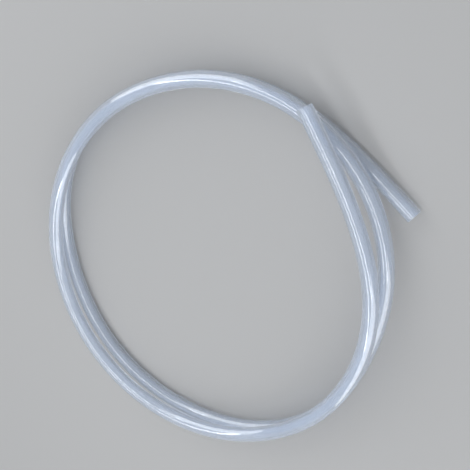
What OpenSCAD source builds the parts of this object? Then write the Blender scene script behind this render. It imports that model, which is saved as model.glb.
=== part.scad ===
// Silicone tubing coil.
// One length of soft silicone laboratory tubing, extruded with a round bore, cut square at both
// ends and laid down on a bench in a loose coil of a little over two turns. Nothing ties it.
//
// Millimetres, +Z up. The tube lies on the plane Z = 0, and the origin is on that plane at the
// middle of the coil's outline. End B is the low end, straight on the bench. From there the tube
// runs anticlockwise, climbs over its own low end, goes round again on top of the first turn,
// and climbs once more to end A, which lies on top of everything.

/* [Tube] */
// Bore diameter, which is the size that picks the barbed fitting
tube_id = 5; // [3:0.5:6]
// Wall thickness
wall = 1.5; // [0.8:0.1:2]

/* [Coil] */
// Radius of the coil, to the middle of the tube
coil_r = 97; // [80:1:120]
// Angle that the tube bends through, between its two straight ends
coil_sweep = 739; // [610:1:890]
// Angle over which the tube climbs onto the turn below it
climb_sweep = 100; // [80:1:120]
// Gap between the turns that lie on each other
lay_gap = 0.3; // [0.2:0.05:0.5]
// Straight length at each cut end, the part that goes over a fitting
end_len = 16; // [12:1:24]

/* [Hidden] */

tube_od = tube_id + 2 * wall;

// Where the bend begins at end B, measured round the coil from +X.
start_angle = -99;

// A tube laid by hand never follows one circle. These are the whole millimetres by which it
// wanders outwards from coil_r, at equal steps from end B to end A. The first and last are large
// because a free end straightens itself.
wander = [54, 9, 10, 2, 5, -7, -6, -6, 0, -7, 10, 14, 4, -1, -3, -2, -2, -4, -5, 0, 3, 58];

// Each climb is over this much before the tube is a whole turn past the start of its bend,
// so that it is already up when it crosses the low end.
climb_early = 8;

sides = 16;           // flats round the faceted bend
ring_step = 7.5;      // degrees of coil from one ring of points to the next
lap = 2;              // how far the bend and a straight end run into each other
sink = 0.03;          // how far inside the wall the bend's skin is, where it runs into an end
round_fn = 64;        // facets drawn on the true round ends

tube_colour = [0.74, 0.80, 0.90];

// ---- the line along the middle of the tube ----

function unit(v) = v / norm(v);

// Smooth blend of four neighbouring values of the wander list, with u running from 0 to 1.
function blend(u, a, b, c, d) =
    (pow(1 - u, 3) * a
        + (3 * pow(u, 3) - 6 * pow(u, 2) + 4) * b
        + (3 * u + 3 * pow(u, 2) - 3 * pow(u, 3) + 1) * c
        + pow(u, 3) * d) / 6;

// Distance from the coil's axis at the fraction f of the bend.
function lay_radius(f) =
    let (
        spans = len(wander) - 3,
        k = min(floor(f * spans), spans - 1)
    )
    coil_r + blend(f * spans - k, wander[k], wander[k + 1], wander[k + 2], wander[k + 3]);

// A soft step from 0 to 1.
function ease(t) = (1 - cos(180 * min(max(t, 0), 1))) / 2;

// Height of the middle of the tube after it has turned through the angle a.
// Each time round it climbs the height of one more tube.
function lay_height(a) =
    let (
        steps = [for (turn = [1 : ceil(coil_sweep / 360)])
            ease((a + climb_sweep + climb_early - 360 * turn) / climb_sweep)]
    )
    tube_od / 2 + (tube_od + lay_gap) * (steps * [for (s = steps) 1]);

function bend_point(f) =
    let (a = start_angle + coil_sweep * f)
    [lay_radius(f) * cos(a), lay_radius(f) * sin(a), lay_height(coil_sweep * f)];

// The bend in equal steps, then the direction of the straight end at each side of it.
rings = ceil(coil_sweep / ring_step);
bend = [for (i = [0 : rings]) bend_point(i / rings)];
tiny = 0.0001;
along_b = unit(bend_point(tiny) - bend_point(0));
along_a = unit(bend_point(1) - bend_point(1 - tiny));

// The outline's middle, which is moved to the origin.
mouth_b = bend[0] - end_len * along_b;
mouth_a = bend[rings] + end_len * along_a;
all_points = concat([mouth_b], bend, [mouth_a]);
xs = [for (p = all_points) p[0]];
ys = [for (p = all_points) p[1]];
middle = [(min(xs) + max(xs)) / 2, (min(ys) + max(ys)) / 2, 0];

// The faceted bend runs a little way into each straight end, and leaves it a little way out.
route = concat(
    [bend[0] - lap * along_b, bend[0] + lap * along_b],
    [for (i = [1 : rings - 1]) bend[i]],
    [bend[rings] - lap * along_a, bend[rings] + lap * along_a]
);
last = len(route) - 1;

// ---- the solid ----

// Direction of the tube at point i of the route.
function heading(i) = unit(route[min(i + 1, last)] - route[max(i - 1, 0)]);

// One ring of points round the route, at the radius r, with its first point to the side.
function ring(i, r) =
    let (
        t = heading(i),
        side = unit(cross(t, [0, 0, 1])),
        top = cross(side, t)
    )
    [for (j = [0 : sides - 1])
        route[i] + r * (cos(360 * j / sides) * side + sin(360 * j / sides) * top)];

function is_end(i) = i < 2 || i > last - 2;

// The flats of the bore stand clear of the true bore, and the outer corners are on the true wall.
function outer_r(i) = tube_od / 2 - (is_end(i) ? sink : 0);
function bore_r(i) = (tube_id / 2 + (is_end(i) ? sink : 0)) / cos(180 / sides);

// Two triangles on each cell of a skin whose first point has the number base.
function skin(base) = [
    for (i = [0 : last - 1], j = [0 : sides - 1])
        let (
            n = (j + 1) % sides,
            a = base + i * sides + j,
            b = base + i * sides + n,
            c = base + (i + 1) * sides + n,
            d = base + (i + 1) * sides + j
        )
        each [[a, b, c], [a, c, d]]
];

// The flat ring of wall between the two skins, at point i of the route.
function cap(i, inner) = [
    for (j = [0 : sides - 1])
        let (
            n = (j + 1) % sides,
            a = i * sides + j,
            b = i * sides + n
        )
        each [[a, inner + b, b], [a, inner + a, inner + b]]
];

function flip(faces) = [for (f = faces) [f[2], f[1], f[0]]];

module bend_body() {
    outer = [for (i = [0 : last]) each ring(i, outer_r(i))];
    bore = [for (i = [0 : last]) each ring(i, bore_r(i))];
    inner = len(outer);
    polyhedron(
        points = concat(outer, bore),
        faces = concat(skin(0), flip(skin(inner)), cap(0, inner), flip(cap(last, inner))),
        convexity = 12
    );
}

// A straight end with its true round bore, running from p in the direction t.
module straight_end(p, t) {
    side = unit(cross(t, [0, 0, 1]));
    top = cross(side, t);
    multmatrix([
        [side[0], top[0], -t[0], p[0]],
        [side[1], top[1], -t[1], p[1]],
        [side[2], top[2], -t[2], p[2]],
        [0, 0, 0, 1]
    ])
        mirror([0, 0, 1])
            difference() {
                cylinder(d = tube_od, h = end_len, $fn = round_fn);
                translate([0, 0, -1])
                    cylinder(d = tube_id, h = end_len + 2, $fn = round_fn);
            }
}

module silicone_tube() {
    color(tube_colour)
        translate(-middle) {
            bend_body();
            straight_end(bend[0], -along_b);
            straight_end(bend[rings], along_a);
        }
}

silicone_tube();
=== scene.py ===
# %% [markdown]
# # A coil of silicone laboratory tubing
# The object is one length of soft, milky silicone tube, 8 mm across with a 5 mm bore. It was cut
# square at both ends and put down on a bench in a loose coil of a little over two turns.
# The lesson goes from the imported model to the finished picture: the camera, the line the tube
# follows, the hollow tube along that line, its silicone, and last the floor and the lamps.

# %% Load the fixed frame
from math import ceil, cos, floor, pi, radians, sin

import bpy
import numpy as np
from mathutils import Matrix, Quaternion, Vector
from mathutils.kdtree import KDTree


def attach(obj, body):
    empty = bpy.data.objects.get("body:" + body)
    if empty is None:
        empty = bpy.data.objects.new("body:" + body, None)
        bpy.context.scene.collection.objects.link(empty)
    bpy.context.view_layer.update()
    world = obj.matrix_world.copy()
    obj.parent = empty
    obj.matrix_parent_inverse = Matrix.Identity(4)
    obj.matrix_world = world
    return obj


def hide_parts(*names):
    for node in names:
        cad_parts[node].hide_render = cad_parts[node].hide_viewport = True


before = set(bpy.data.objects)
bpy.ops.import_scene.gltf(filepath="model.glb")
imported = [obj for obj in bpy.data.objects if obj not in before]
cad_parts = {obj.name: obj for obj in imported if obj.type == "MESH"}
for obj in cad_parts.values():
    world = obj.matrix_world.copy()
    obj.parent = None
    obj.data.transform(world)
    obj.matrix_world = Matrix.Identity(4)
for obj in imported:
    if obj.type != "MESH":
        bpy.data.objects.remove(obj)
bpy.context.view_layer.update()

MM = 0.001

# %% [markdown]
# ## The camera
# A camera can be placed by typing its three angles, but angles of a rolled camera are hard to
# read. Here it is hung on an orbit instead: a point to look at, a height above the floor in
# degrees, a distance, and then a roll about its own line of sight. The long lens keeps both
# sides of the coil nearly the same size.

# %% Hang the camera
# These came from a separate fitting program, together with the line of the tube below.
AIM = Vector((4.28, -21.7, 8)) * MM
HEIGHT_ANGLE = radians(54.92)
DISTANCE = 405.84 * MM
ROLL = radians(-126.055)
# A camera's sensor and lens are written in millimetres, and its near limit in metres.
SENSOR_WIDTH = 36
FOCAL_LENGTH = 61.55
NEAR_LIMIT = 0.01

lens_data = bpy.data.cameras.new("bench_camera")
lens_data.sensor_width = SENSOR_WIDTH
lens_data.lens = FOCAL_LENGTH
lens_data.clip_start = NEAR_LIMIT
camera = bpy.data.objects.new("bench_camera", lens_data)
bpy.context.collection.objects.link(camera)

sight = Vector((0, cos(HEIGHT_ANGLE), -sin(HEIGHT_ANGLE)))
camera.location = AIM - DISTANCE * sight
camera.rotation_mode = "QUATERNION"
camera.rotation_quaternion = sight.to_track_quat("-Z", "Y") @ Quaternion((0, 0, 1), ROLL)
bpy.context.scene.camera = camera
print("camera at, m:", [round(c, 4) for c in camera.location])

# %% [markdown]
# ## The line the tube follows
# A coil drawn as a perfect spiral looks like a spring. Real tubing laid by hand wanders in and
# out by a few millimetres, and its free ends straighten themselves. One way is to drag control
# points about until it looks right. The other, used here, is a rule: the radius is the coil's
# own radius plus a smooth blend through 22 whole millimetres, and the height goes up by one
# tube each time the line comes round to where it began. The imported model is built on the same
# rule, so the finished tube lies where the checked one does.

# %% Sizes of the tube and its coil, in millimetres and degrees
BORE = 5
WALL = 1.5
OUTSIDE = BORE + 2 * WALL
COIL_RADIUS = 97    # to the middle of the tube
COIL_SWEEP = 739    # the angle of the whole bend, a little over two turns
CLIMB_SWEEP = 100   # the angle over which the tube climbs onto the turn below
CLIMB_EARLY = 8     # how long before each whole turn it is already up
LAY_GAP = 0.3       # between the turns that lie on each other
END_LENGTH = 16     # the straight length at each cut end
START_ANGLE = -99   # where the bend begins, from the X axis
# How far the line lies outside the coil's radius, at equal steps from the low end to the high one.
# A separate fitting program gave these, already rounded. They were not chosen by hand.
WANDER = [54, 9, 10, 2, 5, -7, -6, -6, 0, -7, 10, 14, 4, -1, -3, -2, -2, -4, -5, 0, 3, 58]
print(f"a tube of {OUTSIDE:g} mm, bent through {COIL_SWEEP / 360:.2f} turns")


# %% One point of the bend
def blend(u, a, b, c, d):
    """Smooth blend of four neighbouring values, with u going from 0 to 1."""
    return (
        (1 - u) ** 3 * a
        + (3 * u ** 3 - 6 * u ** 2 + 4) * b
        + (3 * u + 3 * u ** 2 - 3 * u ** 3 + 1) * c
        + u ** 3 * d
    ) / 6


def lay_radius(share):
    """Distance from the coil's middle, for a share of the bend from 0 to 1."""
    spans = len(WANDER) - 3
    k = min(floor(share * spans), spans - 1)
    return COIL_RADIUS + blend(share * spans - k, *WANDER[k:k + 4])


def ease(t):
    """A soft step from 0 to 1."""
    return (1 - cos(pi * min(max(t, 0), 1))) / 2


def lay_height(angle):
    """Height of the middle of the tube, once it has bent through this many degrees."""
    turns = range(1, ceil(COIL_SWEEP / 360) + 1)
    steps = sum(ease((angle + CLIMB_SWEEP + CLIMB_EARLY - 360 * turn) / CLIMB_SWEEP)
                for turn in turns)
    return OUTSIDE / 2 + (OUTSIDE + LAY_GAP) * steps


def bend_point(share):
    angle = radians(START_ANGLE + COIL_SWEEP * share)
    radius = lay_radius(share)
    return np.array((radius * cos(angle), radius * sin(angle), lay_height(COIL_SWEEP * share)))


def unit(v):
    return v / np.linalg.norm(v)


print("the bend begins at, mm:", bend_point(0).round(1), "and ends at", bend_point(1).round(1))

# %% The whole line, from one cut end to the other
RING_GAP = 2.0      # millimetres from one ring of the finished tube to the next
PACKED_STEP = 7.5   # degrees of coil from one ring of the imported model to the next
FINE_STEPS = 4000   # steps fine enough to measure the line by
TINY = 0.0001       # the share of the bend that gives its direction at each end

first, last = bend_point(0), bend_point(1)
into_coil = unit(bend_point(TINY) - first)
out_of_coil = unit(last - bend_point(1 - TINY))

# The middle of the outline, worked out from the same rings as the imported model's.
packed_rings = ceil(COIL_SWEEP / PACKED_STEP)
mouths = [first - END_LENGTH * into_coil, last + END_LENGTH * out_of_coil]
outline = np.array([bend_point(i / packed_rings) for i in range(packed_rings + 1)] + mouths)
middle = (outline.min(0) + outline.max(0)) / 2 * (1, 1, 0)

# Equal steps along the tube, so that its rings are equally far apart.
bend = [bend_point(i / FINE_STEPS) for i in range(FINE_STEPS + 1)]
fine = np.array([mouths[0], *bend, mouths[1]])
gone = np.r_[0, np.cumsum(np.linalg.norm(np.diff(fine, axis=0), axis=1))]
ring_count = round(gone[-1] / RING_GAP) + 1
at = np.linspace(0, gone[-1], ring_count)
route = np.column_stack([np.interp(at, gone, fine[:, k]) for k in range(3)])
route = (route - middle) * MM

# %% [markdown]
# ## The tube itself
# A soft tube is pushed out of a ring-shaped die, so it has the same section all along. It could
# be an outline swept down a path, or two sleeves joined at their ends. The easiest to keep true
# is a curve with a round bevel, which is the outside of the tube; turned into a mesh, it gets
# its wall from Solidify, which grows inwards and closes the two cut faces. A very small bevel
# takes the hardness off the cut edges.

# %% Draw the outside as a bevelled curve
SIDES = 40

# A curve's round bevel has four sides, and two more for each step of its resolution.
bpy.ops.object.select_all(action="DESELECT")
line = bpy.data.curves.new("tubing", "CURVE")
line.dimensions = "3D"
line.twist_mode = "Z_UP"
line.bevel_depth = OUTSIDE / 2 * MM
line.bevel_resolution = (SIDES - 4) // 2
spline = line.splines.new("POLY")
spline.points.add(len(route) - 1)
for point, place in zip(spline.points, route):
    point.co = (*place, 1)
tubing = bpy.data.objects.new("tubing", line)
bpy.context.collection.objects.link(tubing)
bpy.context.view_layer.objects.active = tubing
tubing.select_set(True)
bpy.ops.object.convert(target="MESH")
tubing = bpy.context.view_layer.objects.active
print("outside:", len(tubing.data.vertices), "points,", len(tubing.data.polygons), "faces")

# %% Close the seam and turn the faces outwards
SAME_PLACE = 0.01 * MM

bpy.ops.object.mode_set(mode="EDIT")
bpy.ops.mesh.select_all(action="SELECT")
bpy.ops.mesh.remove_doubles(threshold=SAME_PLACE)
bpy.ops.mesh.normals_make_consistent(inside=False)
bpy.ops.object.mode_set(mode="OBJECT")
print("with its seam closed:", len(tubing.data.vertices), "points")

# %% Give it its wall
wall = tubing.modifiers.new("wall", "SOLIDIFY")
wall.thickness = WALL * MM
wall.offset = -1
wall.use_rim = True
wall.use_even_offset = True
bpy.ops.object.modifier_apply(modifier="wall")
print("with its wall:", len(tubing.data.polygons), "faces")

# %% Take the hardness off the cut edges
CUT_ROUNDING = 0.12 * MM
CUT_STEPS = 2
EDGE_FROM = radians(50)     # only the cut edges turn this sharply
SMOOTH_UP_TO = radians(40)

cut = tubing.modifiers.new("cut", "BEVEL")
cut.width = CUT_ROUNDING
cut.segments = CUT_STEPS
cut.limit_method = "ANGLE"
cut.angle_limit = EDGE_FROM
bpy.ops.object.modifier_apply(modifier="cut")
bpy.ops.object.shade_smooth_by_angle(angle=SMOOTH_UP_TO)
print("tubing:", len(tubing.data.polygons), "faces,", len(tubing.data.vertices), "points")

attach(tubing, "root")
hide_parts("silicone_tube")


# %% [markdown]
# ## Where each point lies on the tube
# Tubing comes out of its die with marks that run its whole length and hardly change along it.
# A pattern in the object's own coordinates can't follow a tube round a bend, and an unrolled map
# has a seam. So each point of the mesh is told where it lies: the cosine and sine of its place
# round the section, and how far along the tube it is. A pattern that reads those three numbers
# bends with the tube and has no seam.

# %% Tell each point where it lies
places = KDTree(len(route))
for number, place in enumerate(route):
    places.insert(place, number)
places.balance()

points = np.array([v.co for v in tubing.data.vertices])
nearest = np.array([places.find(p)[1] for p in points])
heading = np.gradient(route, axis=0)[nearest]
side = np.cross(heading, (0, 0, 1))
side /= np.linalg.norm(side, axis=1)[:, None]
top = np.cross(side, heading)
top /= np.linalg.norm(top, axis=1)[:, None]
spoke = points - route[nearest]
across, above = (spoke * side).sum(1), (spoke * top).sum(1)
radius = np.hypot(across, above)
on_tube = np.column_stack([across / radius, above / radius, at[nearest] * MM])

lie = tubing.data.attributes.new("lie", "FLOAT_VECTOR", "POINT")
lie.data.foreach_set("vector", on_tube.ravel())
print("points that know their place:", len(on_tube), "from", round(radius.min() / MM, 2),
      "to", round(radius.max() / MM, 2), "mm from the middle of the tube")


# %% [markdown]
# ## Sums on shader sockets
# A material's numbers can be worked out with Math nodes placed one at a time, which soon gets
# long. A small class that wraps a socket lets Python's own signs add them instead. A second one
# holds a whole node tree, and has one way to add any node to it.

# %% A socket that can be added to and multiplied
class Wire:
    """One output of a shader node, or the sum of several."""

    def __init__(self, nodes, socket):
        self.nodes, self.socket = nodes, socket

    def maths(self, operation, other):
        return self.nodes.add("Math", {"operation": operation}, {0: self, 1: other})[0]

    def __add__(self, other):
        return self.maths("ADD", other)

    def __mul__(self, other):
        return self.maths("MULTIPLY", other)

    __radd__, __rmul__ = __add__, __mul__


# %% A tree of nodes
class Nodes:
    """The shader nodes of a material or of the world."""

    def __init__(self, owner):
        owner.use_nodes = True
        self.tree = owner.node_tree
        self.tree.nodes.clear()

    def add(self, kind, settings=None, values=None):
        """Adds a node: its settings first, then each socket's value or link. Gives its outputs."""
        made = self.tree.nodes.new("ShaderNode" + kind)
        for name, value in (settings or {}).items():
            setattr(made, name, value)
        for name, value in (values or {}).items():
            if isinstance(value, Wire):
                self.tree.links.new(value.socket, made.inputs[name])
            else:
                made.inputs[name].default_value = value
        return {key: Wire(self, socket) for number, socket in enumerate(made.outputs)
                for key in (number, socket.name)}

    def __len__(self):
        return len(self.tree.nodes)


# %% [markdown]
# ## The silicone
# Silicone rubber is clear, but its fine silica filler scatters a little of the light, the blue
# most of all. So a thin wall is bluish white and lets through what lies behind it. Real
# scattering inside the wall needs a volume shader, which is not tried here, and Subsurface alone
# makes the tube look like white plastic. The surface is a mix of two shaders. One is tinted glass
# at silicone's refractive index, for the light that passes through and for the bore seen inside.
# The other is a pale body for the light that the filler sends back. Both have the same thin glossy
# coat, because the outside of the tube shines the same whatever is under it.
#
# Two patterns keep it from looking too perfect. Die lines, fine marks round the section that run
# along the tube, change how milky and how smooth it is and ripple it very slightly. Clouds a few
# centimetres long come from filler that was not mixed quite evenly.

# %% The marks of the die and the clouds
milky_silicone = bpy.data.materials.new("milky_silicone")
silicone = Nodes(milky_silicone)
lie_on_tube = silicone.add("Attribute", {"attribute_name": "lie"})["Vector"]

# How each pattern is stretched, by two numbers round the section and one along the tube, and
# then its scale and its detail.
DIE_LINES = (1.0, 1.0, 0.35), 9.0, 3.0
CLOUDS = (0.6, 0.6, 40.0), 1.0, 2.0
NOISE_ROUGHNESS = 0.6


def along_tube(stretch, scale, detail):
    """Soft noise over the tube, from 0 to 1, stretched round and along it."""
    spread = silicone.add("VectorMath", {"operation": "MULTIPLY"}, {0: lie_on_tube, 1: stretch})
    return silicone.add("TexNoise", {"noise_dimensions": "3D"}, {
        "Vector": spread["Vector"],
        "Scale": scale,
        "Detail": detail,
        "Roughness": NOISE_ROUGHNESS,
    })[0]


die_lines = along_tube(*DIE_LINES)
clouds = along_tube(*CLOUDS)

# Noise stays near its middle, so the sum is about 0.2, and near nothing in the clearest marks.
MILK_BASE = -0.05
MILK_IN_LINES = 0.42
MILK_IN_CLOUDS = 0.10
milkiness = MILK_BASE + MILK_IN_LINES * die_lines + MILK_IN_CLOUDS * clouds
print("the silicone has", len(silicone), "nodes for its marks and clouds")

# %% The two shaders and their mix
SILICONE_IOR = 1.41
# The coat mirrors more than bare silicone would, so that the lamps' lines stay clear.
GLOSS = {"Coat Weight": 1.0, "Coat Roughness": 0.05, "Coat IOR": 1.85}
RIPPLE_HEIGHT = 0.05 * MM
RIPPLE_STRENGTH = 0.02
THIN_TINT = (0.71, 0.80, 0.95, 1)       # between the clouds
CLOUD_TINT = (0.78, 0.86, 0.975, 1)     # in the thick of them
GLASS_TINT = (0.83, 0.88, 0.955, 1)
FILLER_ROUGHNESS, FILLER_ROUGHER = 0.34, 0.12
CLEAR_ROUGHNESS, CLEAR_ROUGHER = 0.02, 0.06
FILLER_SPECULAR = 0.4

ripple = silicone.add("Bump", {}, {
    "Strength": RIPPLE_STRENGTH, "Distance": RIPPLE_HEIGHT, "Height": die_lines})[0]
# A Mix node for colours has its two colours at sockets 6 and 7, and its result at output 2.
tint = silicone.add("Mix", {"data_type": "RGBA"}, {0: clouds, 6: THIN_TINT, 7: CLOUD_TINT})[2]

filler = silicone.add("BsdfPrincipled", {}, {
    "Base Color": tint,
    "Roughness": FILLER_ROUGHNESS + FILLER_ROUGHER * die_lines,
    "IOR": SILICONE_IOR,
    "Specular IOR Level": FILLER_SPECULAR,
    "Normal": ripple,
    **GLOSS,
})[0]
clear = silicone.add("BsdfPrincipled", {}, {
    "Base Color": GLASS_TINT,
    "Roughness": CLEAR_ROUGHNESS + CLEAR_ROUGHER * die_lines,
    "IOR": SILICONE_IOR,
    "Transmission Weight": 1.0,
    "Normal": ripple,
    **GLOSS,
})[0]
body = silicone.add("MixShader", {}, {0: milkiness, 1: clear, 2: filler})[0]
print("the silicone's two shaders are mixed, with", len(silicone), "nodes so far")

# %% [markdown]
# ## Its shadow
# Glass in a renderer stops the light of the lamps, and a tube of it casts a shadow as dark as
# steel's. Real silicone lets much of that light through, a little warmer than it came because
# the filler keeps some of the blue. Tracing each bent ray would be exact and slow. Instead, a ray
# that is on its way to a lamp meets a partly transparent surface, so the floor under the coil
# and the turns below get some of their light.

# %% Let lamp light through
# What passes at each face of the wall. A ray through the middle of the tube meets four of them.
LAMP_LIGHT_THROUGH = (0.54, 0.53, 0.51, 1)

to_a_lamp = silicone.add("LightPath")["Is Shadow Ray"]
window = silicone.add("BsdfTransparent", {}, {"Color": LAMP_LIGHT_THROUGH})[0]
whole = silicone.add("MixShader", {}, {0: to_a_lamp, 1: body, 2: window})[0]
silicone.add("OutputMaterial", {}, {"Surface": whole})
tubing.data.materials.clear()
tubing.data.materials.append(milky_silicone)
print("the silicone's shader has", len(silicone), "nodes")

# %% [markdown]
# ## The studio behind it all
# The light that comes from everywhere is faint here, so that the lamps can draw their lines. But
# what is seen past the lamps, mirrored in the tube or looked at through it should be a pale
# studio and not a dusk. Light Path tells the rays that look from the rays that light, and the
# strongest of its three answers picks the brightness.

# %% The sky
STUDIO_COLOUR = (0.93, 0.96, 1.0, 1)
STUDIO_LIGHT = 0.25
STUDIO_SEEN = 0.55


def is_seen(nodes):
    """1 for a ray that looks, straight or through a mirror or glass, and 0 for one that lights."""
    ray = nodes.add("LightPath")
    seen = ray["Is Camera Ray"]
    for kind in ("Is Glossy Ray", "Is Transmission Ray"):
        seen = seen.maths("MAXIMUM", ray[kind])
    return seen


studio = bpy.data.worlds.new("studio")
bpy.context.scene.world = studio
sky = Nodes(studio)
strength = sky.add("MapRange", {}, {
    "Value": is_seen(sky), "To Min": STUDIO_LIGHT, "To Max": STUDIO_SEEN})["Result"]
glow = sky.add("Background", {}, {"Color": STUDIO_COLOUR, "Strength": strength})[0]
sky.add("OutputWorld", {}, {"Surface": glow})
print("studio:", STUDIO_LIGHT, "as light,", STUDIO_SEEN, "where it is seen")

# %% [markdown]
# ## The floor
# Translucent things show what they lie on, so the floor is part of the tube's colour. White paper
# would hide the tube and black would make it look like smoke. This is a plain pale grey, a little
# darker than the tube's highlights, so that the bright lines stand out and the soft shadow under
# the coil still shows. The lamps stand near the coil and light only the middle of it, so further
# out the floor turns little by little into the studio's own tone, as a paper sweep would.

# %% The floor
FLOOR_SIZE = 60
FLOOR_COLOUR = (0.51, 0.515, 0.52, 1)
FLOOR_ROUGHNESS = 0.9
SWEEP_FROM, SWEEP_TO = 0.3, 1.0     # metres from the middle of the coil

bpy.ops.object.select_all(action="DESELECT")
bpy.ops.mesh.primitive_plane_add(size=FLOOR_SIZE, location=(0, 0, 0))
bench = bpy.context.view_layer.objects.active
bench.name = "floor"

pale_floor = bpy.data.materials.new("pale_floor")
paper = Nodes(pale_floor)
here = paper.add("TexCoord")["Object"]
away = paper.add("VectorMath", {"operation": "LENGTH"}, {0: here})["Value"]
sweep = paper.add("MapRange", {"interpolation_type": "SMOOTHSTEP"}, {
    "Value": away, "From Min": SWEEP_FROM, "From Max": SWEEP_TO})["Result"]
lit = paper.add("BsdfPrincipled", {}, {
    "Base Color": FLOOR_COLOUR, "Roughness": FLOOR_ROUGHNESS})[0]
far_off = paper.add("Emission", {}, {"Color": STUDIO_COLOUR, "Strength": STUDIO_SEEN})[0]
# Only the rays that look meet the studio's tone, so the far floor gives the coil no light by it.
mixed = paper.add("MixShader", {}, {0: sweep * is_seen(paper), 1: lit, 2: far_off})[0]
paper.add("OutputMaterial", {}, {"Surface": mixed})
bench.data.materials.append(pale_floor)
print("floor:", FLOOR_SIZE, "m square, plain to", SWEEP_FROM, "m from the coil")

# %% [markdown]
# ## The lamps
# A glossy tube mirrors its lamps as lines that run along it. Their shape is what tells the eye
# that it is round and smooth. A square softbox makes one short wide highlight on each bend. Two
# long narrow strips side by side make a pair of fine lines wherever the tube runs the same way
# as they do, and the lines die out where it turns away. Two large, dim softboxes low at the
# sides keep those turned parts bright.

# %% The lamps
def area_lamp(name, place, size, watts):
    """A flat lamp, metres and watts, that points at the coil."""
    data = bpy.data.lights.new(name, "AREA")
    data.shape = "RECTANGLE"
    data.size, data.size_y = size
    data.energy = watts
    lamp = bpy.data.objects.new(name, data)
    bpy.context.collection.objects.link(lamp)
    lamp.location = place
    lamp.rotation_euler = (-Vector(place)).to_track_quat("-Z", "Y").to_euler()
    return lamp


STRIP, STRIP_WATTS = (1.8, 0.08), 3.0
SIDE_BOX, SIDE_WATTS = (1.0, 0.8), 4.3

lamps = [
    area_lamp("far_strip", (0, 0.43, 1.0), STRIP, STRIP_WATTS),
    area_lamp("near_strip", (0, -0.16, 1.0), STRIP, STRIP_WATTS),
    area_lamp("right_softbox", (0.89, 0.0, 0.45), SIDE_BOX, SIDE_WATTS),
    area_lamp("left_softbox", (-0.89, 0.0, 0.45), SIDE_BOX, SIDE_WATTS),
]
print("lamps:", {lamp.name: lamp.data.energy for lamp in lamps})

# %% [markdown]
# ## Finish
# The Standard view shows colours as they were written.

# %% View settings
bpy.context.scene.view_settings.view_transform = "Standard"
